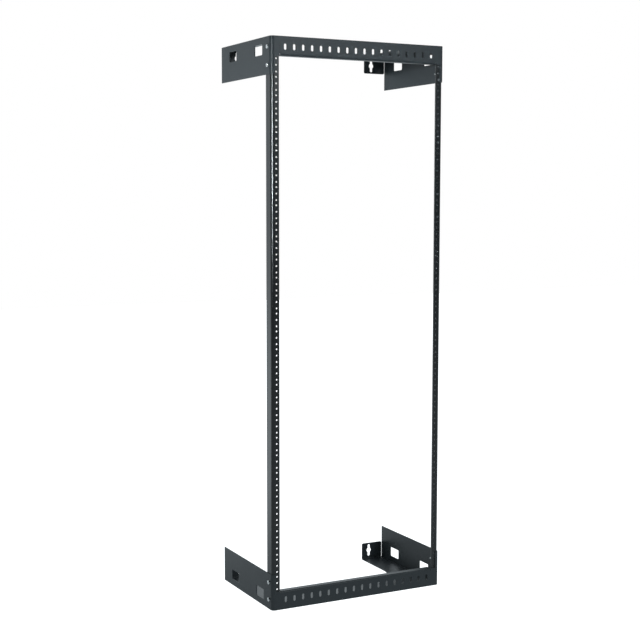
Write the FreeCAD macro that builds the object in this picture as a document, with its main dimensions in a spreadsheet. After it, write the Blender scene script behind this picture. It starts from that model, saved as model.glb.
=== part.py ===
import FreeCAD, Part
import math
import os
import Sketcher

# Wall-mount open frame rack: two folded steel brackets, one at the top and one at the bottom,
# joined at the front by two punched rack rails.
# The origin is the centre of the upper left keyhole on the wall plane. X runs to the right as seen
# from the front, Y into the wall and Z up, all in millimetres.
# The sketches are drawn from the middle of the rack's height and width, with the wall at Y = 0.

DRIVING_SIZES = {
    # the rack's capacity, and the standard spacing of its hole columns, which sets the width
    "rack_units": 30,
    "unit_height": 44.45,
    "column_spacing": 465.1,
    "column_margin": 15.1,
    "frame_depth": 304.8,
    # folded sheet of the brackets
    "sheet_gauge": 2.0,
    "flange_height": 47.6,
    "arm_height": 92.0,
    "arm_wall_gap": 1.5,
    "corner_bend": 7.5,
    "corner_flat": 2.5,
    # return lip along the free edge of the front band
    "lip_depth": 18.0,
    "lip_bend": 3.0,
    "lip_end_gap": 3.0,
    "lip_relief": 1.5,
    # row of tie slots in the front band
    "slot_count": 18,
    "slot_row_margin": 38.55,
    "slot_width": 7.0,
    "slot_height": 15.0,
    "slot_level": 25.4,
    # two cable windows in each arm
    "window_length": 44.5,
    "window_height": 26.0,
    "window_corner": 3.0,
    "window_level": 29.5,
    "front_window_setback": 73.0,
    "rear_window_setback": 230.0,
    # web plate that ties the arms to the front band
    "web_strip": 100.0,
    "web_side": 66.6,
    "web_notch_corner": 80.0,
    "web_corner_clearance": 1.0,
    # wall tabs turned from the web plate, with their keyholes
    "tab_height": 47.0,
    "tab_bend": 2.0,
    "tab_gap": 1.0,
    "tab_corner": 4.0,
    "key_margin": 44.45,
    "key_level": 26.0,
    "key_head": 14.4,
    "key_shank": 7.9,
    "key_length": 34.0,
    # rack rails
    "rail_gauge": 2.7,
    "rail_bend": 5.5,
    "bay_margin": 7.15,
    "rail_depth": 32.0,
    "rail_end_gap": 2.0,
    # equipment holes in the rails
    "hole_bore": 5.8,
    "hole_first": 6.35,
    "hole_step": 15.875,
    "hole_sides": 8,
    # bolts that clamp each rail end to its arm
    "bolt_bore": 5.5,
    "bolt_setback": 18.0,
    "bolt_offset": 22.2,
}

SHEET_NAME = "Sizes"
# the rack standard puts three holes in every unit, and a panel uses the two outer ones
HOLES_A_UNIT = 3
PANEL_HOLES = (0, 2)
# holes that repeat many times have a few flat sides, just inside the true bore, in place of a round wall
MANY_SIDED_SHARE = 0.98
COSINE_DIGITS = 9
# share of a slot's half width that the slanted flat at each of its corners takes
SLOT_CORNER_SHARE = round(2 - math.sqrt(2), COSINE_DIGITS)
# sketch points nearer than this are one point
SAME_PLACE = 1e-6

doc = FreeCAD.newDocument("open_frame_rack")
sheet = doc.addObject("Spreadsheet::Sheet", SHEET_NAME)
for row, (alias, number) in enumerate(DRIVING_SIZES.items(), start=1):
    sheet.set(f"A{row}", alias)
    sheet.set(f"B{row}", str(number))
    sheet.setAlias(f"B{row}", alias)
doc.recompute()


class Size:
    """A size worked out from the sheet: the expression that binds it, and its present value."""

    def __init__(self, text, number):
        self.text = text
        self.number = number

    def joined(self, sign, other, number):
        return Size(f"({self.text} {sign} {other.text})", number)

    def __add__(self, other):
        other = as_size(other)
        return self.joined("+", other, self.number + other.number)

    def __sub__(self, other):
        other = as_size(other)
        return self.joined("-", other, self.number - other.number)

    def __mul__(self, other):
        other = as_size(other)
        return self.joined("*", other, self.number * other.number)

    def __truediv__(self, other):
        other = as_size(other)
        return self.joined("/", other, self.number / other.number)

    def __neg__(self):
        return Size(f"(-1 * {self.text})", -self.number)


def as_size(given):
    if isinstance(given, Size):
        return given
    return Size(str(given), given)


def size(alias):
    return Size(f"{SHEET_NAME}.{alias}", float(sheet.get(alias)))


def whole_half(given):
    """Half of a count, rounded down."""
    return Size(f"floor({given.text} / 2)", math.floor(given.number / 2))


# places that several pieces share
gauge = size("sheet_gauge")
half_columns = size("column_spacing") / 2
half_width = half_columns + size("column_margin")
half_opening = size("rack_units") * size("unit_height") / 2
half_height = half_opening + size("flange_height")
front = -size("frame_depth")
behind_band = front + gauge
inside_arm = half_width - gauge
under_web = half_height - gauge
half_bay = half_columns - size("bay_margin")
# the arms turn the corner and meet the front band a little beyond the bend
corner_seam = inside_arm - size("corner_bend") - size("corner_flat")
bolt_setback = front + size("bolt_setback")
outer_bolt = half_opening + size("bolt_offset")
inner_bolt = half_opening - size("bolt_offset")

# the rack's middle, seen from the upper left keyhole
middle_x = half_width - size("key_margin")
middle_z = size("key_level") - half_height


def bind(item, path, given):
    item.setExpression(path, as_size(given).text)


def new_body(label):
    body = doc.addObject("PartDesign::Body", label)
    body.Label = label
    bind(body, "Placement.Base.x", middle_x)
    bind(body, "Placement.Base.z", middle_z)
    return body


def mirrored(label, source, normal):
    """The same piece on the other side of the rack's middle."""
    twin = doc.addObject("Part::Mirroring", label)
    twin.Label = label
    twin.Source = source
    twin.Normal = normal
    bind(twin, "Base.x", middle_x)
    bind(twin, "Base.z", middle_z)
    return twin


def origin_plane(body, role):
    return next(plane for plane in body.Origin.OriginFeatures if plane.Role == role)


def new_sketch(body, role, name, offset=None):
    sketch = body.newObject("Sketcher::SketchObject", name)
    sketch.AttachmentSupport = [(origin_plane(body, role), "")]
    sketch.MapMode = "FlatFace"
    if offset is not None:
        bind(sketch, "AttachmentOffset.Base.z", offset)
    return sketch


def dimension(sketch, kind, places, given):
    """One named dimension of a sketch, bound to the sheet."""
    index = sketch.addConstraint(Sketcher.Constraint(kind, *places, given.number))
    name = f"{kind.lower()}_{index}"
    sketch.renameConstraint(index, name)
    bind(sketch, f"Constraints.{name}", given)


def fix_point(sketch, geometry, end, across, along):
    """Dimensions one point of a sketch from its two axes."""
    for kind, axis, given in (("DistanceX", -2, across), ("DistanceY", -1, along)):
        if as_size(given).number == 0:
            sketch.addConstraint(Sketcher.Constraint("PointOnObject", geometry, end, axis))
        else:
            dimension(sketch, kind, (-1, 1, geometry, end), as_size(given))


def direction(start, end):
    """The unit step from one corner to the next along a square outline."""
    across = end[0].number - start[0].number
    along = end[1].number - start[1].number
    length = math.hypot(across, along)
    return round(across / length), round(along / length)


def draw_outline(sketch, corners):
    """A closed outline of square corners, anticlockwise, some of them rounded.

    Each corner is its two coordinates and, where it is rounded, a radius.
    """
    corners = [(as_size(c[0]), as_size(c[1]), c[2] if len(c) > 2 else None) for c in corners]
    stations = []
    for place, corner in enumerate(corners):
        across, along, radius = corner
        back = direction(corner, corners[place - 1])
        ahead = direction(corner, corners[(place + 1) % len(corners)])
        if radius is None:
            stations.append((across, along, None, None))
            continue
        entry = (across + radius * back[0], along + radius * back[1])
        leave = (across + radius * ahead[0], along + radius * ahead[1])
        centre = FreeCAD.Vector(
            across.number + radius.number * (back[0] + ahead[0]),
            along.number + radius.number * (back[1] + ahead[1]),
            0,
        )
        stations.append((*entry, radius, centre))
        stations.append((*leave, None, None))

    def at(station):
        return FreeCAD.Vector(station[0].number, station[1].number, 0)

    # an arc that ends where the next one starts leaves no straight line between them
    kept = []
    for place, station in enumerate(stations):
        following = stations[(place + 1) % len(stations)]
        straight = station[2] is None
        if straight and at(station).distanceToPoint(at(following)) < SAME_PLACE:
            continue
        kept.append((station, following))

    ends = []
    for station, following in kept:
        start, stop = at(station), at(following)
        if station[2] is None:
            index = sketch.addGeometry(Part.LineSegment(start, stop))
            ends.append((index, 1, 2))
            continue
        centre = station[3]
        circle = Part.Circle(centre, FreeCAD.Vector(0, 0, 1), station[2].number)
        turn = (start - centre).cross(stop - centre).z
        first, last = (start, stop) if turn > 0 else (stop, start)
        begin = math.atan2(first.y - centre.y, first.x - centre.x)
        finish = math.atan2(last.y - centre.y, last.x - centre.x)
        index = sketch.addGeometry(Part.ArcOfCircle(circle, begin, finish))
        ends.append((index, 1, 2) if turn > 0 else (index, 2, 1))

    for place, (index, begin, finish) in enumerate(ends):
        following = ends[(place + 1) % len(ends)]
        sketch.addConstraint(
            Sketcher.Constraint("Coincident", index, finish, following[0], following[1])
        )
    for (station, _), (index, begin, finish) in zip(kept, ends):
        fix_point(sketch, index, begin, station[0], station[1])
        if station[2] is not None:
            dimension(sketch, "Radius", (index,), station[2])


def draw_rectangle(sketch, across, along, width, height, radius):
    """A rectangle about a centre, with rounded corners."""
    left, right = across - width / 2, across + width / 2
    low, high = along - height / 2, along + height / 2
    draw_outline(
        sketch,
        [
            (left, low, radius),
            (right, low, radius),
            (right, high, radius),
            (left, high, radius),
        ],
    )


def draw_circle(sketch, across, along, diameter):
    centre = FreeCAD.Vector(across.number, along.number, 0)
    circle = Part.Circle(centre, FreeCAD.Vector(0, 0, 1), diameter.number / 2)
    index = sketch.addGeometry(circle)
    fix_point(sketch, index, 3, across, along)
    dimension(sketch, "Diameter", (index,), diameter)


def draw_polygon(sketch, points):
    """A closed outline of straight lines, each of its points dimensioned."""
    places = [FreeCAD.Vector(across.number, along.number, 0) for across, along in points]
    lines = []
    for start, stop in zip(places, places[1:] + places[:1]):
        lines.append(sketch.addGeometry(Part.LineSegment(start, stop)))
    for line, following in zip(lines, lines[1:] + lines[:1]):
        sketch.addConstraint(Sketcher.Constraint("Coincident", line, 2, following, 1))
    for line, (across, along) in zip(lines, points):
        fix_point(sketch, line, 1, across, along)


def on_circle(across, along, radius, turn):
    """The point of a circle after a turn, given as a share of the full round."""
    aside = radius * round(math.cos(2 * math.pi * turn), COSINE_DIGITS)
    beyond = radius * round(math.sin(2 * math.pi * turn), COSINE_DIGITS)
    return across + aside, along + beyond


def draw_many_sided(sketch, across, along, bore):
    """A small hole drawn with a few flat sides, its corners just inside the bore."""
    sides = int(size("hole_sides").number)
    radius = bore * MANY_SIDED_SHARE / 2
    points = [on_circle(across, along, radius, side / sides) for side in range(sides)]
    draw_polygon(sketch, points)


def draw_slot(sketch, across, along, width, height):
    """An upright slot whose round ends are drawn with three flat sides that touch the round."""
    side, tip = width / 2, height / 2
    corner = side * SLOT_CORNER_SHARE
    near, far = side - corner, tip - corner
    draw_polygon(
        sketch,
        [
            (across + side, along - far),
            (across + side, along + far),
            (across + near, along + tip),
            (across - near, along + tip),
            (across - side, along + far),
            (across - side, along - far),
            (across - near, along - tip),
            (across + near, along - tip),
        ],
    )


def pad(body, sketch, length, reverse=False, both_ways=False):
    feature = body.newObject("PartDesign::Pad", f"{sketch.Name}_pad")
    feature.Profile = sketch
    bind(feature, "Length", length)
    feature.Reversed = reverse
    feature.Midplane = both_ways
    return feature


def pocket(body, sketch):
    """Cuts a sketch right through the body, both ways from its plane."""
    feature = body.newObject("PartDesign::Pocket", f"{sketch.Name}_cut")
    feature.Profile = sketch
    feature.Type = "ThroughAll"
    feature.Midplane = True
    return feature


def row_of(body, feature, axis, count, pitch):
    """Repeats a cut along one of the body's axes."""
    pattern = body.newObject("PartDesign::LinearPattern", f"{feature.Name}_row")
    pattern.Originals = [feature]
    pattern.Direction = (origin_plane(body, axis), [""])
    bind(pattern, "Length", pitch * (count - 1))
    bind(pattern, "Occurrences", count)
    body.Tip = pattern
    return pattern


def build_arm(label):
    """Upper left arm: a deep side plate whose front edge turns the corner, with two cable windows."""
    body = new_body(label)
    height = size("arm_height")
    plan = new_sketch(body, "XY_Plane", "arm_plan", half_height - height)
    rear = -size("arm_wall_gap")
    draw_outline(
        plan,
        [
            (-half_width, rear),
            (-half_width, front, gauge + size("corner_bend")),
            (-corner_seam, front),
            (-corner_seam, behind_band),
            (-inside_arm, behind_band, size("corner_bend")),
            (-inside_arm, rear),
        ],
    )
    pad(body, plan, height)
    windows = new_sketch(body, "YZ_Plane", "arm_windows")
    for setback in ("front_window_setback", "rear_window_setback"):
        draw_rectangle(
            windows,
            front + size(setback),
            half_height - size("window_level"),
            size("window_length"),
            size("window_height"),
            size("window_corner"),
        )
    pocket(body, windows)
    bolts = new_sketch(body, "YZ_Plane", "arm_bolts")
    for level in (outer_bolt, inner_bolt):
        draw_many_sided(bolts, bolt_setback, level, size("bolt_bore"))
    pocket(body, bolts)
    return body


def build_front_band(label):
    """Upper front band: a strip between the arms with a row of tie slots and a return lip."""
    body = new_body(label)
    lip_bend = size("lip_bend")
    lip_turn = gauge + lip_bend
    lip_reach = half_bay - size("lip_end_gap")
    lip_notch = lip_reach + size("lip_relief")
    strip = new_sketch(body, "XZ_Plane", "band_strip", size("frame_depth"))
    draw_outline(
        strip,
        [
            (-corner_seam, half_opening),
            (-lip_notch, half_opening),
            (-lip_notch, half_opening + lip_turn),
            (lip_notch, half_opening + lip_turn),
            (lip_notch, half_opening),
            (corner_seam, half_opening),
            (corner_seam, half_height),
            (-corner_seam, half_height),
        ],
    )
    pad(body, strip, gauge, reverse=True)
    lip = new_sketch(body, "YZ_Plane", "band_lip")
    lip_rear = front + size("lip_depth")
    draw_outline(
        lip,
        [
            (front, half_opening + lip_turn),
            (front, half_opening, lip_turn),
            (lip_rear, half_opening),
            (lip_rear, half_opening + gauge),
            (behind_band, half_opening + gauge, lip_bend),
            (behind_band, half_opening + lip_turn),
        ],
    )
    pad(body, lip, lip_reach * 2, both_ways=True)
    slot = new_sketch(body, "XZ_Plane", "band_slot")
    first_slot = size("slot_row_margin") - half_width
    slot_level = half_height - size("slot_level")
    draw_slot(slot, first_slot, slot_level, size("slot_width"), size("slot_height"))
    count = size("slot_count")
    row_of(body, pocket(body, slot), "X_Axis", count, -(first_slot * 2 / (count - 1)))
    return body


def build_web_plate(label):
    """Upper web plate: a plate notched towards the wall, with two wall tabs turned down at its rear."""
    body = new_body(label)
    tab_bend = size("tab_bend")
    tab_turn = gauge + tab_bend
    notch = half_width - size("web_side")
    notch_front = front + size("web_strip")
    corner = size("corner_bend") + size("web_corner_clearance")
    plan = new_sketch(body, "XY_Plane", "web_plan", under_web)
    draw_outline(
        plan,
        [
            (-inside_arm, -tab_turn),
            (-inside_arm, behind_band, corner),
            (inside_arm, behind_band, corner),
            (inside_arm, -tab_turn),
            (notch, -tab_turn),
            (notch, notch_front, size("web_notch_corner")),
            (-notch, notch_front, size("web_notch_corner")),
            (-notch, -tab_turn),
        ],
    )
    pad(body, plan, gauge)

    tab_outer = inside_arm - size("tab_gap")
    bend = new_sketch(body, "YZ_Plane", "tab_fold", -tab_outer)
    draw_outline(
        bend,
        [
            (-tab_turn, under_web),
            (-gauge, under_web, tab_bend),
            (-gauge, half_height - tab_turn),
            (0, half_height - tab_turn),
            (0, half_height, tab_turn),
            (-tab_turn, half_height),
        ],
    )
    fold = pad(body, bend, tab_outer - notch)
    face = new_sketch(body, "XZ_Plane", "tab_face")
    tab_edge = half_height - size("tab_height")
    draw_outline(
        face,
        [
            (-tab_outer, tab_edge, size("tab_corner")),
            (-notch, tab_edge, size("tab_corner")),
            (-notch, half_height - tab_turn),
            (-tab_outer, half_height - tab_turn),
        ],
    )
    tab = pad(body, face, gauge)

    key_level = half_height - size("key_level")
    head = new_sketch(body, "XZ_Plane", "key_head")
    draw_circle(head, -middle_x, key_level, size("key_head"))
    shank = new_sketch(body, "XZ_Plane", "key_shank")
    draw_rectangle(
        shank,
        -middle_x,
        key_level,
        size("key_shank"),
        size("key_length"),
        size("key_shank") / 2,
    )
    keyhole = [pocket(body, head), pocket(body, shank)]
    other_side = body.newObject("PartDesign::Mirrored", "other_tab")
    other_side.Originals = [fold, tab, *keyhole]
    other_side.MirrorPlane = (origin_plane(body, "YZ_Plane"), [""])
    body.Tip = other_side
    return body


def build_rail(label):
    """Left rack rail: a folded angle with three equipment holes in every rack unit."""
    body = new_body(label)
    rail_gauge, rail_bend = size("rail_gauge"), size("rail_bend")
    rear = behind_band + size("rail_depth")
    section = new_sketch(body, "XY_Plane", "rail_section")
    draw_outline(
        section,
        [
            (-inside_arm, rear),
            (-inside_arm, behind_band, rail_gauge + rail_bend),
            (-half_bay, behind_band),
            (-half_bay, behind_band + rail_gauge),
            (rail_gauge - inside_arm, behind_band + rail_gauge, rail_bend),
            (rail_gauge - inside_arm, rear),
        ],
    )
    pad(body, section, (under_web - size("rail_end_gap")) * 2, both_ways=True)

    bolts = new_sketch(body, "YZ_Plane", "rail_bolts")
    for level in (outer_bolt, inner_bolt, -inner_bolt, -outer_bolt):
        draw_many_sided(bolts, bolt_setback, level, size("bolt_bore"))
    pocket(body, bolts)

    # the outer holes of the lowest, the middle and the top unit have the full round bore
    stated = new_sketch(body, "XZ_Plane", "stated_holes")
    units, bore = size("rack_units"), size("hole_bore")
    levels = [size("hole_first") + size("hole_step") * place for place in range(HOLES_A_UNIT)]
    for unit in (as_size(0), whole_half(units), units - 1):
        for place in PANEL_HOLES:
            level = unit * size("unit_height") + levels[place] - half_opening
            draw_circle(stated, -half_columns, level, bore)
    pocket(body, stated)

    unit_holes = new_sketch(body, "XZ_Plane", "unit_holes")
    for level in levels:
        draw_many_sided(unit_holes, -half_columns, level - half_opening, bore)
    row_of(body, pocket(body, unit_holes), "Z_Axis", units, size("unit_height"))
    return body


ACROSS = FreeCAD.Vector(1, 0, 0)
UPWARDS = FreeCAD.Vector(0, 0, 1)

top_left_arm = build_arm("top_left_arm")
top_front_band = build_front_band("top_front_band")
top_web_plate = build_web_plate("top_web_plate")
left_rail = build_rail("left_rail")
doc.recompute()

top_right_arm = mirrored("top_right_arm", top_left_arm, ACROSS)
pieces = [
    top_left_arm,
    top_right_arm,
    top_front_band,
    top_web_plate,
    left_rail,
    mirrored("right_rail", left_rail, ACROSS),
    mirrored("bottom_left_arm", top_left_arm, UPWARDS),
    mirrored("bottom_right_arm", top_right_arm, UPWARDS),
    mirrored("bottom_front_band", top_front_band, UPWARDS),
    mirrored("bottom_web_plate", top_web_plate, UPWARDS),
]
doc.recompute()

for item in doc.Objects:
    if {"Invalid", "Error"} & set(item.State):
        raise RuntimeError(f"{item.Label} did not build: {item.State}")
for piece in pieces:
    shape = piece.Shape
    if shape.isNull() or not shape.isValid() or len(shape.Solids) != 1:
        raise RuntimeError(f"{piece.Label} is not one sound solid")

os.makedirs("parts", exist_ok=True)
for piece in pieces:
    piece.Shape.exportStep(f"parts/{piece.Label}.step")
    box = piece.Shape.BoundBox
    print(
        f"{piece.Label:18s} volume {piece.Shape.Volume:10.1f}"
        f"  x {box.XMin:8.2f} {box.XMax:8.2f}"
        f"  y {box.YMin:8.2f} {box.YMax:8.2f}"
        f"  z {box.ZMin:9.2f} {box.ZMax:9.2f}"
    )
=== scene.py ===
import math

import bmesh
import bpy
from mathutils import Matrix, Vector


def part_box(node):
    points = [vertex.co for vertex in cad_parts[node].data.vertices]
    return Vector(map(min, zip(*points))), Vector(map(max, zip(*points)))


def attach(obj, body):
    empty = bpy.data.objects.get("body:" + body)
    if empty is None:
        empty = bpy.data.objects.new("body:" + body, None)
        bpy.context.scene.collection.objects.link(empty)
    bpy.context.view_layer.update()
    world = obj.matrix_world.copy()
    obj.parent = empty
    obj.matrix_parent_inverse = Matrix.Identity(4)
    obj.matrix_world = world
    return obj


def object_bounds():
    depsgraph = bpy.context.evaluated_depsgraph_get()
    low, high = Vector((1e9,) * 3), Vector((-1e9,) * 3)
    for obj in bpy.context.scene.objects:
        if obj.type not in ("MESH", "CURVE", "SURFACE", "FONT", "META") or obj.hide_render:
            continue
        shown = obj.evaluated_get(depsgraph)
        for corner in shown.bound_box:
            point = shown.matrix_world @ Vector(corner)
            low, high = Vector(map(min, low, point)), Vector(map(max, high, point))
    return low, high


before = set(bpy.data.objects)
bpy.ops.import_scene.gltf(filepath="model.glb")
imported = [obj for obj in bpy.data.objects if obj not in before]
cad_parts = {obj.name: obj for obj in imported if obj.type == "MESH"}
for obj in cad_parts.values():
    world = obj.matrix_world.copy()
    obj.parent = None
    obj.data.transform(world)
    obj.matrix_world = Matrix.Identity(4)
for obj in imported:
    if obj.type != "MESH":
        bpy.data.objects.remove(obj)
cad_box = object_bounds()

# Looks of the wall-mount open frame rack: coated brackets and rails, plated screws and tapped rail holes.
# Sizes are in millimetres where their name ends in MM, and in metres everywhere else.
MM = 0.001

# Sheet of the rails and of the front bands
RAIL_GAUGE_MM = 2.7
BAND_GAUGE_MM = 2.0

# Pan-head screws that clamp each rail end to its arm
SCREW_SETBACK_MM = 18.0
SCREW_OFFSET_MM = 22.2
SCREW_LENGTH_MM = 16.0
SCREW_POINT_MM = 0.6
SCREW_CREST_MM = 2.4
SCREW_ROOT_MM = 2.0
SCREW_PITCH_MM = 0.8
SCREW_STEPS = 96
HEAD_WIDTH_MM = 10.0
HEAD_HEIGHT_MM = 3.2
HEAD_ROUND_MM = 0.8
CROSS_REACH_MM = 1.8
CROSS_WIDTH_MM = 1.0
CROSS_DEPTH_MM = 1.4
# the cross recess and the screw's point narrow to these shares
CROSS_TAPER = 0.75
POINT_TAPER = 0.75
# each screw and nut stops at its own angle when it is tight
SCREW_TURN = math.radians(37)

# Hex nuts on the screws
NUT_FLATS_MM = 8.0
NUT_HEIGHT_MM = 4.0
# the round flat left on each face by the turned chamfer, as a share of the width
NUT_FACE_SHARE = 0.95
NUT_CHAMFER_SLOPE = math.tan(math.radians(30))
NUT_BORE_CHAMFER_MM = 0.4
# how far the screw's crests reach into the nut's bore
NUT_GRIP_MM = 0.1

# Plain washers under the nuts
WASHER_WIDTH_MM = 10.0
WASHER_GAUGE_MM = 1.0
WASHER_PLAY_MM = 0.2
WASHER_RIM_ROUND_MM = 0.3
WASHER_BORE_ROUND_MM = 0.15

# Tapped equipment holes of the rails: three in each rack unit
RACK_UNITS = 30
UNIT_MM = 44.45
HOLE_LEVELS_MM = (6.35, 22.225, 38.1)
COLUMN_SPACING_MM = 465.1
TAP_CREST_MM = 2.15
TAP_ROOT_MM = 2.7
TAP_PITCH_MM = 1.06
TAP_STEPS = 18
TAP_SIDES = 20
TAP_RIM_MM = 3.3
# how deep the thread starts below each face of the rail
TAP_LEAD_MM = 0.15
# the coated rim of a tapped hole: the radius of each ring, and how deep it lies below the rail's face
TAP_RIM_RINGS_MM = (
    (TAP_RIM_MM, 0.02),
    (TAP_RIM_MM - 0.15, -0.1),
    (TAP_ROOT_MM + 0.2, -0.1),
    (TAP_ROOT_MM, TAP_LEAD_MM),
)

# Punched tie slots of the front bands
SLOT_COUNT = 18
SLOT_ROW_MARGIN_MM = 38.55
SLOT_LEVEL_MM = 25.4
SLOT_WIDTH_MM = 7.0
SLOT_HEIGHT_MM = 15.0
SLOT_SIDES = 36
# the rolled edge of a punched slot: how far outside the slot, and how far in front of the sheet
ROLLED_EDGE_MM = ((0.5, -0.02), (0.35, 0.04), (0.1, 0.02), (-0.03, -0.12), (-0.06, -0.4))

# Roundness of the small turned pieces, and the sharpest angle that is shaded smooth
ROUND_SIDES = 48
ROUND_STEPS = 6
SMOOTH_ANGLE = math.radians(35)

# Stretch beside a corner seam that is drawn without an edge
SEAM_REACH_MM = 1.5

# Patterns of the finishes
CLOUD_MM = 110.0
PEEL_MM = 9.0
COAT_EDGE_ROUND_MM = 0.7
ZINC_MOTTLE_MM = 1.8
ZINC_MOTTLE_DEPTH_MM = 0.02
TAP_STREAK_MM = 0.9
PAPER_FIBRE_MM = 12.0
# nearly all of a noise lies between these two values
NOISE_LOW = 0.3
NOISE_HIGH = 0.7
# a coat's roughness differs by this much between its clouds
COAT_SHEEN_SWING = 0.03
# the wear of an edge starts and is full at these cosines of its bend, and covers this share at most
WEAR_STARTS = 0.995
WEAR_IS_FULL = 0.8
WEAR_MOST = 0.75


def linear(shade):
    """A colour written as sRGB hex, as the linear values that the shader takes."""
    parts = [int(shade[place : place + 2], 16) / 255 for place in (1, 3, 5)]
    return [part / 12.92 if part <= 0.04045 else ((part + 0.055) / 1.055) ** 2.4 for part in parts] + [1.0]


def node(tree, kind, inputs=None, **settings):
    """Adds one node: its settings, and for each input a number or the socket that feeds it."""
    made = tree.nodes.new(kind)
    for name, setting in settings.items():
        setattr(made, name, setting)
    for name, given in (inputs or {}).items():
        if isinstance(given, bpy.types.NodeSocket):
            tree.links.new(given, made.inputs[name])
        else:
            made.inputs[name].default_value = given
    return made


def new_material(name):
    """An empty material, its node tree, its shader and its places in the rack's own frame."""
    made = bpy.data.materials.new(name)
    made.use_nodes = True
    tree = made.node_tree
    tree.nodes.clear()
    shader = node(tree, "ShaderNodeBsdfPrincipled")
    node(tree, "ShaderNodeOutputMaterial", {"Surface": shader.outputs["BSDF"]})
    place = node(tree, "ShaderNodeTexCoord").outputs["Object"]
    return made, tree, shader, place


def feed(tree, shader, **sockets):
    """Links what varies over a surface to the shader's inputs of the same names."""
    for name, socket in sockets.items():
        tree.links.new(socket, shader.inputs[name.replace("_", " ")])


# Materials


def beside_corner_seam(tree, place):
    """Is 1 beside the lines where an arm's folded corner runs on into the front band without an edge."""
    low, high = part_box("top_front_band")
    middle, reach = (low.x + high.x) / 2, (high.x - low.x) / 2
    across = node(tree, "ShaderNodeSeparateXYZ", {"Vector": place}).outputs["X"]
    for offset in (middle, reach):
        moved = node(tree, "ShaderNodeMath", {0: across, 1: offset}, operation="SUBTRACT").outputs["Value"]
        across = node(tree, "ShaderNodeMath", {0: moved}, operation="ABSOLUTE").outputs["Value"]
    beside = node(tree, "ShaderNodeMath", {0: across, 1: SEAM_REACH_MM * MM}, operation="LESS_THAN")
    return beside.outputs["Value"]


def powder_coat(
    name, shade, pale_shade, worn_shade, roughness, ior, pebble_mm, pebble_depth_mm, peel_depth_mm
):
    """Baked black powder coat on sheet steel.

    The melted powder leaves a satin skin with a fine pebble and a long soft orange peel. It draws thin and
    catches the light along sheared edges, and its black clouds very slightly where the film is thicker.
    """
    made, tree, shader, place = new_material(name)
    clouds = node(tree, "ShaderNodeTexNoise", {"Vector": place, "Scale": 1 / (CLOUD_MM * MM), "Detail": 3.0})
    pebble = node(
        tree, "ShaderNodeTexNoise", {"Vector": place, "Scale": 1 / (pebble_mm * MM), "Detail": 4.0}
    )
    peel = node(tree, "ShaderNodeTexNoise", {"Vector": place, "Scale": 1 / (PEEL_MM * MM), "Detail": 1.0})
    film = node(
        tree,
        "ShaderNodeMix",
        {"Factor": clouds.outputs["Fac"], "A": linear(shade), "B": linear(pale_shade)},
        data_type="RGBA",
    )

    # a rounded normal shows where a sheared edge is, for the wear and for the glint along it
    bevel = node(tree, "ShaderNodeBevel", {"Radius": COAT_EDGE_ROUND_MM * MM}, samples=6)
    flat = node(tree, "ShaderNodeNewGeometry").outputs["Normal"]
    rounded = node(
        tree,
        "ShaderNodeMix",
        {"Factor": beside_corner_seam(tree, place), "A": bevel.outputs["Normal"], "B": flat},
        data_type="VECTOR",
    ).outputs["Result"]
    bend = node(tree, "ShaderNodeVectorMath", {0: rounded, 1: flat}, operation="DOT_PRODUCT")
    edge = node(
        tree,
        "ShaderNodeMapRange",
        {
            "Value": bend.outputs["Value"],
            "From Min": WEAR_STARTS,
            "From Max": WEAR_IS_FULL,
            "To Max": WEAR_MOST,
        },
    )
    worn = node(
        tree,
        "ShaderNodeMix",
        {"Factor": edge.outputs["Result"], "A": film.outputs["Result"], "B": linear(worn_shade)},
        data_type="RGBA",
    )
    sheen = node(
        tree,
        "ShaderNodeMapRange",
        {
            "Value": clouds.outputs["Fac"],
            "From Min": NOISE_LOW,
            "From Max": NOISE_HIGH,
            "To Min": roughness - COAT_SHEEN_SWING,
            "To Max": roughness + COAT_SHEEN_SWING,
        },
    )
    long_bump = node(
        tree,
        "ShaderNodeBump",
        {"Height": peel.outputs["Fac"], "Distance": peel_depth_mm * MM, "Normal": rounded},
    )
    fine_bump = node(
        tree,
        "ShaderNodeBump",
        {
            "Height": pebble.outputs["Fac"],
            "Distance": pebble_depth_mm * MM,
            "Normal": long_bump.outputs["Normal"],
        },
    )
    feed(
        tree,
        shader,
        Base_Color=worn.outputs["Result"],
        Roughness=sheen.outputs["Result"],
        Normal=fine_bump.outputs["Normal"],
    )
    shader.inputs["IOR"].default_value = ior
    return made


def zinc_plate():
    """Bright zinc plate on cold-headed steel screws: silvery with a faint blue, and finely mottled."""
    made, tree, shader, place = new_material("bright_zinc_plated_steel")
    mottle = node(
        tree, "ShaderNodeTexNoise", {"Vector": place, "Scale": 1 / (ZINC_MOTTLE_MM * MM), "Detail": 5.0}
    )
    skin = node(
        tree,
        "ShaderNodeMix",
        {"Factor": mottle.outputs["Fac"], "A": linear("#ebedee"), "B": linear("#f8f8f6")},
        data_type="RGBA",
    )
    sheen = node(
        tree,
        "ShaderNodeMapRange",
        {
            "Value": mottle.outputs["Fac"],
            "From Min": NOISE_LOW,
            "From Max": NOISE_HIGH,
            "To Min": 0.18,
            "To Max": 0.3,
        },
    )
    bump = node(
        tree, "ShaderNodeBump", {"Height": mottle.outputs["Fac"], "Distance": ZINC_MOTTLE_DEPTH_MM * MM}
    )
    feed(
        tree,
        shader,
        Base_Color=skin.outputs["Result"],
        Roughness=sheen.outputs["Result"],
        Normal=bump.outputs["Normal"],
    )
    shader.inputs["Metallic"].default_value = 1.0
    return made


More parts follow.
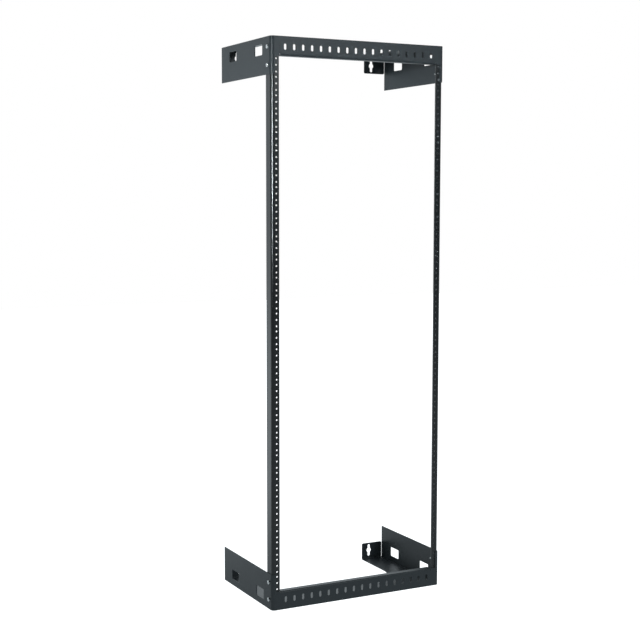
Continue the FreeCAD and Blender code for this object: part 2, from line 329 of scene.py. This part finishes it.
def cut_thread():
    """Bare steel of a tapped thread: dull grey, streaked by the tap and darkened by oil."""
    made, tree, shader, place = new_material("tapped_bare_steel")
    streaks = node(
        tree, "ShaderNodeTexNoise", {"Vector": place, "Scale": 1 / (TAP_STREAK_MM * MM), "Detail": 3.0}
    )
    skin = node(
        tree,
        "ShaderNodeMix",
        {"Factor": streaks.outputs["Fac"], "A": linear("#454749"), "B": linear("#6c6e70")},
        data_type="RGBA",
    )
    sheen = node(
        tree,
        "ShaderNodeMapRange",
        {
            "Value": streaks.outputs["Fac"],
            "From Min": NOISE_LOW,
            "From Max": NOISE_HIGH,
            "To Min": 0.4,
            "To Max": 0.55,
        },
    )
    feed(tree, shader, Base_Color=skin.outputs["Result"], Roughness=sheen.outputs["Result"])
    shader.inputs["Metallic"].default_value = 1.0
    return made


# the brackets have a rougher coat than the rails, and its pebble is drawn coarser than life to show
bracket_coat = powder_coat(
    "pebbled_black_powder_coat",
    shade="#272c2f",
    pale_shade="#2d3235",
    worn_shade="#4e5457",
    roughness=0.42,
    ior=1.45,
    pebble_mm=1.4,
    pebble_depth_mm=0.02,
    peel_depth_mm=0.1,
)
# the rails have a smoother and glossier coat, which draws a light line down their bends
rail_coat = powder_coat(
    "smooth_black_powder_coat",
    shade="#0f1214",
    pale_shade="#141719",
    worn_shade="#4e5254",
    roughness=0.3,
    ior=1.62,
    pebble_mm=1.0,
    pebble_depth_mm=0.008,
    peel_depth_mm=0.03,
)
zinc = zinc_plate()
tapped_steel = cut_thread()


# Meshes


def ring(radius_at, height_at, sides):
    """One closed ring of points round the Z axis, with a radius and a height for each angle."""
    points = []
    for side in range(sides):
        turn = 2 * math.pi * side / sides
        radius = radius_at(turn) * MM
        points.append(Vector((radius * math.cos(turn), radius * math.sin(turn), height_at(turn) * MM)))
    return points


def level_ring(radius, height, sides=ROUND_SIDES):
    """One round and level ring."""
    return ring(lambda turn: radius, lambda turn: height, sides)


def slot_ring(grow, height):
    """One closed ring along the outline of an upright slot, grown outwards."""
    radius = SLOT_WIDTH_MM / 2 + grow
    reach = (SLOT_HEIGHT_MM - SLOT_WIDTH_MM) / 2
    points = []
    for side in range(SLOT_SIDES):
        turn = 2 * math.pi * (side + 0.5) / SLOT_SIDES
        end = math.copysign(reach, math.sin(turn))
        points.append(Vector((radius * math.cos(turn), end + radius * math.sin(turn), height)) * MM)
    return points


def skin_rings(build, rings, place, ends="capped", material=0):
    """Skins a row of rings with quads. The two ends of the row are capped, open or joined to each other."""
    rows = [[build.verts.new(place @ point) for point in points] for points in rings]
    following = rows[1:] + rows[:1] if ends == "joined" else rows[1:]
    faces = []
    for low, high in zip(rows, following):
        for side in range(len(low)):
            after = (side + 1) % len(low)
            faces.append(build.faces.new((low[side], low[after], high[after], high[side])))
    if ends == "capped":
        faces.append(build.faces.new(list(reversed(rows[0]))))
        faces.append(build.faces.new(rows[-1]))
    for face in faces:
        face.material_index = material


def new_piece(name, build, materials):
    """Turns a mesh under construction into a piece of the rack."""
    bmesh.ops.recalc_face_normals(build, faces=build.faces)
    mesh = bpy.data.meshes.new(name)
    build.to_mesh(mesh)
    build.free()
    for material in materials:
        mesh.materials.append(material)
    mesh.polygons.foreach_set("use_smooth", [True] * len(mesh.polygons))
    mesh.set_sharp_from_angle(angle=SMOOTH_ANGLE)
    piece = bpy.data.objects.new(name, mesh)
    bpy.context.scene.collection.objects.link(piece)
    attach(piece, "root")


def from_middle(turn, share):
    """An angle measured from the middle of its share of the full turn."""
    return (turn + share / 2) % share - share / 2


def hexagon(turn):
    """The radius of the nut's hexagon at an angle."""
    return NUT_FLATS_MM / 2 / math.cos(from_middle(turn, math.pi / 3))


def cross(turn):
    """The radius of the screw's cross recess at an angle."""
    aside = abs(math.sin(from_middle(turn, math.pi / 2)))
    return min(CROSS_REACH_MM, CROSS_WIDTH_MM / 2 / max(aside, 1e-6))


def thread_rings(low, high, steps, crest, root, pitch, sides):
    """The rings of a screw thread, whose radius goes once from root to crest and back in each pitch."""
    rings = []
    for step in range(steps + 1):
        height = low + (high - low) * step / steps

        def radius(turn):
            share = (height / pitch - turn / (2 * math.pi)) % 1
            return root + (crest - root) * (1 - abs(2 * share - 1))

        rings.append(ring(radius, lambda turn: height, sides))
    return rings


def make_screw(name, seat):
    """Pan-head screw: a flat-topped head with a cross recess outside the arm, and the thread inwards."""
    build = bmesh.new()
    top, rim = HEAD_HEIGHT_MM, HEAD_WIDTH_MM / 2
    head = [level_ring(SCREW_CREST_MM, 0), level_ring(rim, 0)]
    for step in range(ROUND_STEPS + 1):
        turn = math.pi / 2 * step / ROUND_STEPS
        radius = rim - HEAD_ROUND_MM * (1 - math.cos(turn))
        head.append(level_ring(radius, top - HEAD_ROUND_MM * (1 - math.sin(turn))))
    head += [
        ring(cross, lambda turn: top, ROUND_SIDES),
        ring(lambda turn: CROSS_TAPER * cross(turn), lambda turn: top - CROSS_DEPTH_MM, ROUND_SIDES),
    ]
    skin_rings(build, head, seat)
    thread = [level_ring(POINT_TAPER * SCREW_ROOT_MM, -SCREW_LENGTH_MM)]
    thread += thread_rings(
        SCREW_POINT_MM - SCREW_LENGTH_MM,
        0,
        SCREW_STEPS,
        SCREW_CREST_MM,
        SCREW_ROOT_MM,
        SCREW_PITCH_MM,
        ROUND_SIDES,
    )
    skin_rings(build, thread, seat)
    new_piece(name, build, [zinc])


def make_nut(name, seat):
    """Hex nut, chamfered on both faces, with its seat at Z = 0 and its outer face inwards."""
    build = bmesh.new()
    face = NUT_FACE_SHARE * NUT_FLATS_MM / 2

    def drop(turn):
        """How far the turned chamfer takes the hexagon down at an angle."""
        return (hexagon(turn) - face) * NUT_CHAMFER_SLOPE

    bore, high, chamfer = SCREW_CREST_MM - NUT_GRIP_MM, NUT_HEIGHT_MM, NUT_BORE_CHAMFER_MM
    rings = [
        level_ring(bore + chamfer, 0),
        level_ring(face, 0),
        ring(hexagon, drop, ROUND_SIDES),
        ring(hexagon, lambda turn: high - drop(turn), ROUND_SIDES),
        level_ring(face, high),
        level_ring(bore + chamfer, high),
        level_ring(bore, high - chamfer),
        level_ring(bore, chamfer),
    ]
    skin_rings(build, rings, seat, ends="joined")
    new_piece(name, build, [zinc])


def make_washer(name, seat):
    """Plain punched washer with a rolled outer edge."""
    build = bmesh.new()
    bore, rim, high = SCREW_CREST_MM + WASHER_PLAY_MM, WASHER_WIDTH_MM / 2, WASHER_GAUGE_MM
    rings = [
        level_ring(bore, 0),
        level_ring(rim, 0),
        level_ring(rim, high - WASHER_RIM_ROUND_MM),
        level_ring(rim - WASHER_RIM_ROUND_MM, high),
        level_ring(bore + WASHER_BORE_ROUND_MM, high),
        level_ring(bore, high - WASHER_BORE_ROUND_MM),
    ]
    skin_rings(build, rings, seat, ends="joined")
    new_piece(name, build, [zinc])


def facing(origin, outward, turn):
    """The placing of a piece built along Z, so that Z points to the right or, below zero, to the left."""
    aim = Matrix.Rotation(math.copysign(math.pi / 2, outward), 4, "Y")
    return Matrix.Translation(origin) @ aim @ Matrix.Rotation(turn, 4, "Z")


def clamp_rail_end(level, side, place, height, turn):
    """One screw with its washer and nut through an arm and the rail inside it."""
    arm_low, arm_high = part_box(f"{level}_{side}_arm")
    outward = -1 if side == "left" else 1
    outer = arm_low.x if side == "left" else arm_high.x
    rail_low, rail_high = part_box(f"{side}_rail")
    rail_outer = rail_low.x if side == "left" else rail_high.x
    inner = rail_outer - outward * RAIL_GAUGE_MM * MM
    nut_seat = inner - outward * WASHER_GAUGE_MM * MM
    along = arm_low.y + SCREW_SETBACK_MM * MM
    name = f"{level}_{side}_{place}"
    make_screw(f"{name}_screw", facing((outer, along, height), outward, turn))
    make_washer(f"{name}_washer", facing((inner, along, height), -outward, 0))
    make_nut(f"{name}_nut", facing((nut_seat, along, height), -outward, 2 * turn))


opening_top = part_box("top_front_band")[0].z
opening_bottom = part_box("bottom_front_band")[1].z
screws_set = 0
for level, edge, away in (("top", opening_top, 1), ("bottom", opening_bottom, -1)):
    for side in ("left", "right"):
        for place, beyond in (("outer", away), ("inner", -away)):
            height = edge + beyond * SCREW_OFFSET_MM * MM
            clamp_rail_end(level, side, place, height, screws_set * SCREW_TURN)
            screws_set += 1


def tap_rail_holes(side):
    """The tapped threads of one rail: a thin coated rim on each hole, and the bare thread through it."""
    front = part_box(f"{side}_rail")[0].y
    middle = (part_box("left_rail")[0].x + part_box("right_rail")[1].x) / 2
    column = COLUMN_SPACING_MM * MM / 2 * (-1 if side == "left" else 1)
    gauge = RAIL_GAUGE_MM
    front_rim = [level_ring(radius, depth, TAP_SIDES) for radius, depth in TAP_RIM_RINGS_MM]
    back_rim = [level_ring(radius, gauge - depth, TAP_SIDES) for radius, depth in reversed(TAP_RIM_RINGS_MM)]
    bore = thread_rings(
        TAP_LEAD_MM, gauge - TAP_LEAD_MM, TAP_STEPS, TAP_CREST_MM, TAP_ROOT_MM, TAP_PITCH_MM, TAP_SIDES
    )
    inwards = Matrix.Rotation(-math.pi / 2, 4, "X")
    build = bmesh.new()
    for unit in range(RACK_UNITS):
        for level in HOLE_LEVELS_MM:
            height = opening_bottom + (unit * UNIT_MM + level) * MM
            seat = Matrix.Translation((middle + column, front, height)) @ inwards
            for rings, material in ((front_rim, 0), (bore, 1), (back_rim, 0)):
                skin_rings(build, rings, seat, ends="open", material=material)
    new_piece(f"{side}_rail_threads", build, [rail_coat, tapped_steel])


for side in ("left", "right"):
    tap_rail_holes(side)


def roll_slot_edges(level):
    """The rolled edges of the tie slots of one front band, on both faces of the sheet."""
    low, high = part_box(f"{level}_front_band")
    margin = SLOT_ROW_MARGIN_MM * MM
    first, last = cad_box[0].x + margin, cad_box[1].x - margin
    height = high.z - SLOT_LEVEL_MM * MM if level == "top" else low.z + SLOT_LEVEL_MM * MM
    front = [slot_ring(grow, lift) for grow, lift in ROLLED_EDGE_MM]
    back = [slot_ring(grow, -BAND_GAUGE_MM - lift) for grow, lift in reversed(ROLLED_EDGE_MM)]
    outwards = Matrix.Rotation(math.pi / 2, 4, "X")
    build = bmesh.new()
    for slot in range(SLOT_COUNT):
        across = first + (last - first) * slot / (SLOT_COUNT - 1)
        seat = Matrix.Translation((across, low.y, height)) @ outwards
        skin_rings(build, front + back, seat, ends="open")
    new_piece(f"{level}_band_slot_edges", build, [bracket_coat])


for level in ("top", "bottom"):
    roll_slot_edges(level)

for name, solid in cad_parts.items():
    solid.data.materials.clear()
    solid.data.materials.append(rail_coat if name.endswith("_rail") else bracket_coat)


# Studio

FLOOR_DROP = 0.45
FLOOR_REACH = 14.0
FLOOR_CELLS = 24
COOL_WHITE = "#f0faff"
# light that falls on the rack from every side
AMBIENT = 0.85
# the mirrored white of the floor: how far behind the rack's wall face, and its strength there
FLOOR_BEHIND = (2.6, 0.88)
FLOOR_AHEAD = (1.3, 0.0)
# the mirrored white of the sweep: how nearly a direction points at its brightest, and its strength there
SWEEP_BEHIND = (0.95, 1.25)
SWEEP_AHEAD = (0.3, 0.0)
# the brightest part of the sweep: behind the rack, a little to the right and above
SWEEP_BRIGHTEST = (0.32, 0.89, 0.22)

CAMERA_PLACE = (-1.3962, -3.1743, -0.3652)
CAMERA_AZIMUTH = -27.382
CAMERA_ELEVATION = 5.409
CAMERA_ROLL = 0.070
CAMERA_LENS_MM = 72.61
CAMERA_SENSOR_MM = 36.0
CAMERA_NEAREST = 0.05
CAMERA_FARTHEST = 60.0


def seen_white(tree, along, behind, ahead):
    """The colour and strength with which the white studio shows.

    The camera sees it as plain white, also through something clear. A reflection sees the lit sweep
    behind the rack, cool and uneven, and in front of the rack only the dark room.
    Each end is a place and a strength there.
    """
    path = node(tree, "ShaderNodeLightPath")
    direct = node(
        tree,
        "ShaderNodeMath",
        {0: path.outputs["Is Camera Ray"], 1: path.outputs["Is Transmission Ray"]},
        operation="MAXIMUM",
    ).outputs["Value"]
    mirrored = node(
        tree,
        "ShaderNodeMapRange",
        {
            "Value": along,
            "From Min": ahead[0],
            "From Max": behind[0],
            "To Min": ahead[1],
            "To Max": behind[1],
        },
        interpolation_type="SMOOTHSTEP",
    )
    glossy = node(
        tree,
        "ShaderNodeMath",
        {0: path.outputs["Is Glossy Ray"], 1: mirrored.outputs["Result"]},
        operation="MULTIPLY",
    )
    strength = node(tree, "ShaderNodeMath", {0: direct, 1: glossy.outputs["Value"]}, operation="MAXIMUM")
    colour = node(
        tree,
        "ShaderNodeMix",
        {"Factor": direct, "A": linear(COOL_WHITE), "B": (1, 1, 1, 1)},
        data_type="RGBA",
    )
    return colour.outputs["Result"], strength.outputs["Value"]


def sweep_paper():
    """Matt pale grey sweep paper, with the faint unevenness of its fibres."""
    made, tree, shader, place = new_material("matt_pale_sweep_paper")
    fibres = node(
        tree, "ShaderNodeTexNoise", {"Vector": place, "Scale": 1 / (PAPER_FIBRE_MM * MM), "Detail": 3.0}
    )
    paper = node(
        tree,
        "ShaderNodeMix",
        {"Factor": fibres.outputs["Fac"], "A": linear("#b2b5b6"), "B": linear("#babdbe")},
        data_type="RGBA",
    )
    along = node(tree, "ShaderNodeSeparateXYZ", {"Vector": place}).outputs["Y"]
    colour, strength = seen_white(tree, along, behind=FLOOR_BEHIND, ahead=FLOOR_AHEAD)
    shader.inputs["Roughness"].default_value = 0.9
    feed(tree, shader, Base_Color=paper.outputs["Result"], Emission_Color=colour, Emission_Strength=strength)
    return made


def lay_floor(low, middle):
    """A wide level floor of sweep paper below the hanging rack."""
    build = bmesh.new()
    bmesh.ops.create_grid(build, x_segments=FLOOR_CELLS, y_segments=FLOOR_CELLS, size=FLOOR_REACH)
    bmesh.ops.translate(build, verts=build.verts, vec=(middle.x, middle.y, low.z - FLOOR_DROP))
    mesh = bpy.data.meshes.new("studio_floor")
    build.to_mesh(mesh)
    build.free()
    mesh.materials.append(sweep_paper())
    floor = bpy.data.objects.new("studio_floor", mesh)
    bpy.context.scene.collection.objects.link(floor)


def light_world():
    """A white studio, with soft light from every side."""
    world = bpy.data.worlds.new("white_studio")
    world.use_nodes = True
    tree = world.node_tree
    tree.nodes.clear()
    direction = node(tree, "ShaderNodeTexCoord").outputs["Generated"]
    along = node(
        tree, "ShaderNodeVectorMath", {0: direction, 1: SWEEP_BRIGHTEST}, operation="DOT_PRODUCT"
    ).outputs["Value"]
    colour, strength = seen_white(tree, along, behind=SWEEP_BEHIND, ahead=SWEEP_AHEAD)
    path = node(tree, "ShaderNodeLightPath")
    falling = node(
        tree, "ShaderNodeMath", {0: path.outputs["Is Diffuse Ray"], 1: AMBIENT}, operation="MULTIPLY"
    )
    either = node(tree, "ShaderNodeMath", {0: strength, 1: falling.outputs["Value"]}, operation="MAXIMUM")
    sky = node(tree, "ShaderNodeBackground", {"Color": colour, "Strength": either.outputs["Value"]})
    node(tree, "ShaderNodeOutputWorld", {"Surface": sky.outputs["Background"]})
    bpy.context.scene.world = world


def hang_softbox(name, place, aim, width, height, power, beam=180):
    """A soft lamp. A grid in front of it narrows its beam, given in degrees."""
    lamp = bpy.data.lights.new(name, "AREA")
    lamp.shape = "RECTANGLE"
    lamp.size, lamp.size_y = width, height
    lamp.energy = power
    lamp.spread = math.radians(beam)
    lamp.color = linear(COOL_WHITE)[:3]
    holder = bpy.data.objects.new(name, lamp)
    holder.location = place
    holder.rotation_euler = (Vector(aim) - Vector(place)).to_track_quat("-Z", "Y").to_euler()
    bpy.context.scene.collection.objects.link(holder)


def set_camera():
    """The viewpoint: to the left of the rack's front and a little above its middle."""
    azimuth, elevation, roll = (
        math.radians(angle) for angle in (CAMERA_AZIMUTH, CAMERA_ELEVATION, CAMERA_ROLL)
    )
    back = Vector(
        (
            math.sin(azimuth) * math.cos(elevation),
            -math.cos(azimuth) * math.cos(elevation),
            math.sin(elevation),
        )
    )
    right = Vector((math.cos(azimuth), math.sin(azimuth), 0))
    up = back.cross(right)
    across = right * math.cos(roll) + up * math.sin(roll)
    upright = up * math.cos(roll) - right * math.sin(roll)
    lens = bpy.data.cameras.new("photo_camera")
    lens.lens = CAMERA_LENS_MM
    lens.sensor_width = CAMERA_SENSOR_MM
    lens.clip_start, lens.clip_end = CAMERA_NEAREST, CAMERA_FARTHEST
    camera = bpy.data.objects.new("photo_camera", lens)
    turn = Matrix((across, upright, back)).transposed().to_4x4()
    camera.matrix_world = Matrix.Translation(CAMERA_PLACE) @ turn
    bpy.context.scene.collection.objects.link(camera)
    bpy.context.scene.camera = camera


low, high = cad_box
middle = (low + high) / 2
lay_floor(low, middle)
light_world()
# high up at the right of the front: lights the front bands
hang_softbox(
    "front_softbox",
    place=(1.35, -3.3, 1.1),
    aim=middle + Vector((0, 0, 0.6)),
    width=0.3,
    height=0.8,
    power=31,
)
# gridded, at the left: draws the light line down the upper part of the left rail's bend
hang_softbox(
    "left_softbox",
    place=(-2.15, -1.63, -0.2),
    aim=(low.x, low.y, -0.22),
    width=0.9,
    height=0.45,
    power=1.45,
    beam=11,
)
set_camera()
bpy.context.scene.view_settings.view_transform = "Standard"
